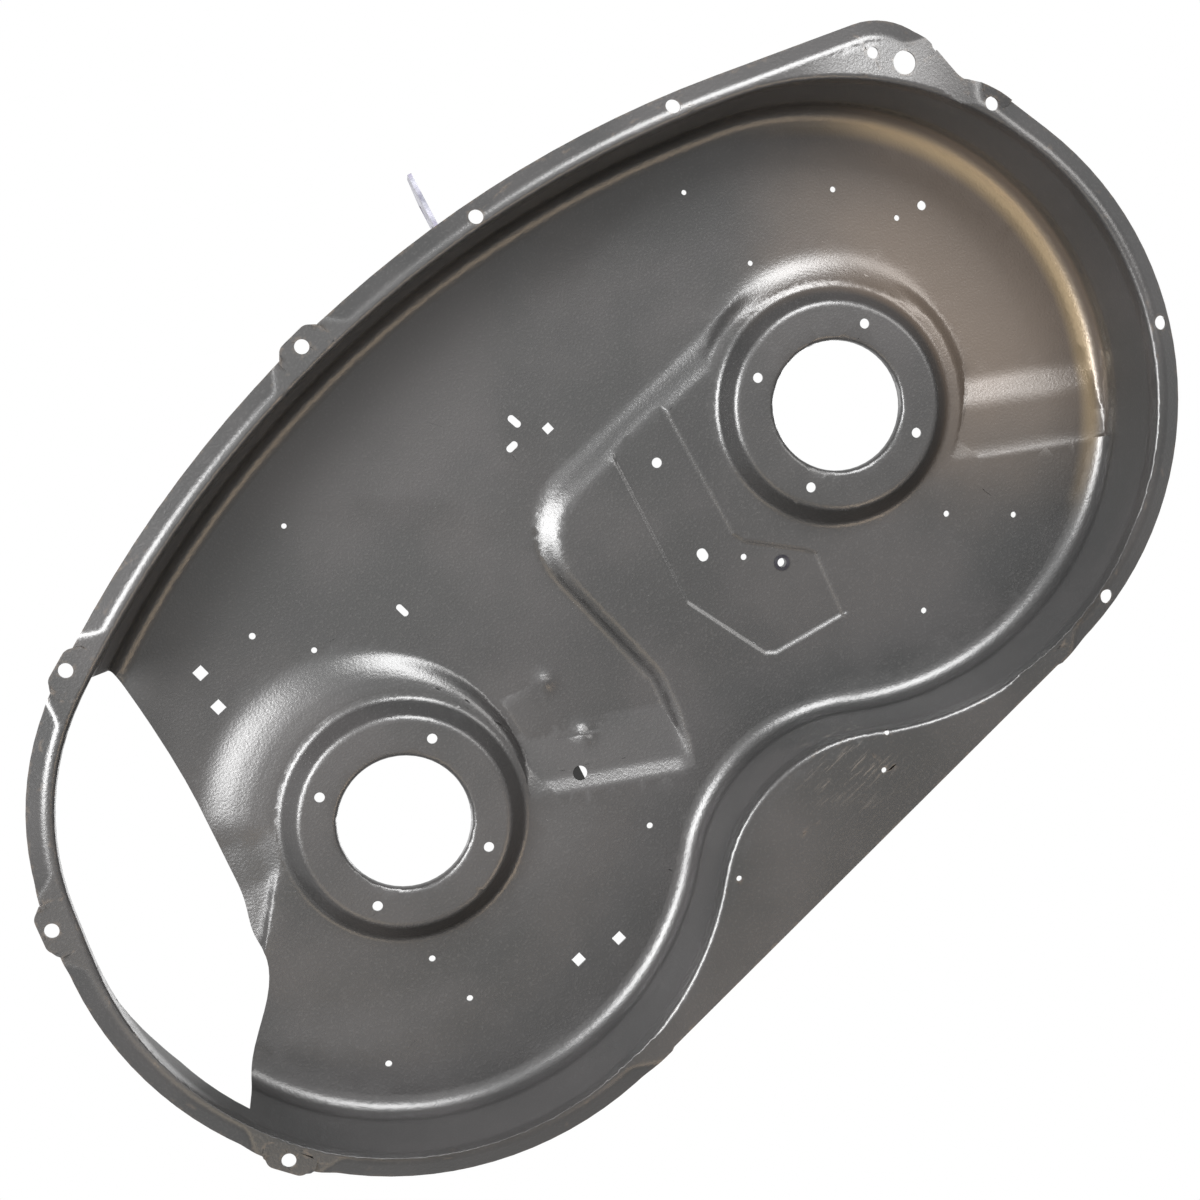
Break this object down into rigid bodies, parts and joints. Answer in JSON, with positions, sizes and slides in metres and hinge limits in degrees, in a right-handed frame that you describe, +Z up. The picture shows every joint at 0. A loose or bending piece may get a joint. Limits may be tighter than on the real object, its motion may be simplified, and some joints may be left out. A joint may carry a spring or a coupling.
{
  "type": "lawn mower deck",
  "caption": "Pressed steel side-discharge mower deck shell with two spindle openings, a raised tunnel, a flat bolting rim with tabs and an ear, and a hanger bracket at the front.",
  "frame": {"origin": "middle of the part's bounding box, on the plane of the rim's underside", "axes": "+X to the discharge side, +Y to the front of the machine, +Z up, as the deck hangs in use"},
  "size_m": [1.1144, 0.6932, 0.1186],
  "materials": {
    "coated_sheet": "satin",
    "plated_nut": "satin",
    "coated_plate": "satin",
    "plated_bracket": "satin"
  },
  "bodies": {
    "root": {"deck_shell": "coated_sheet", "clinch_nut": "plated_nut", "stop_plate": "coated_plate", "hanger_bracket": "plated_bracket"}
  },
  "joints": []
}
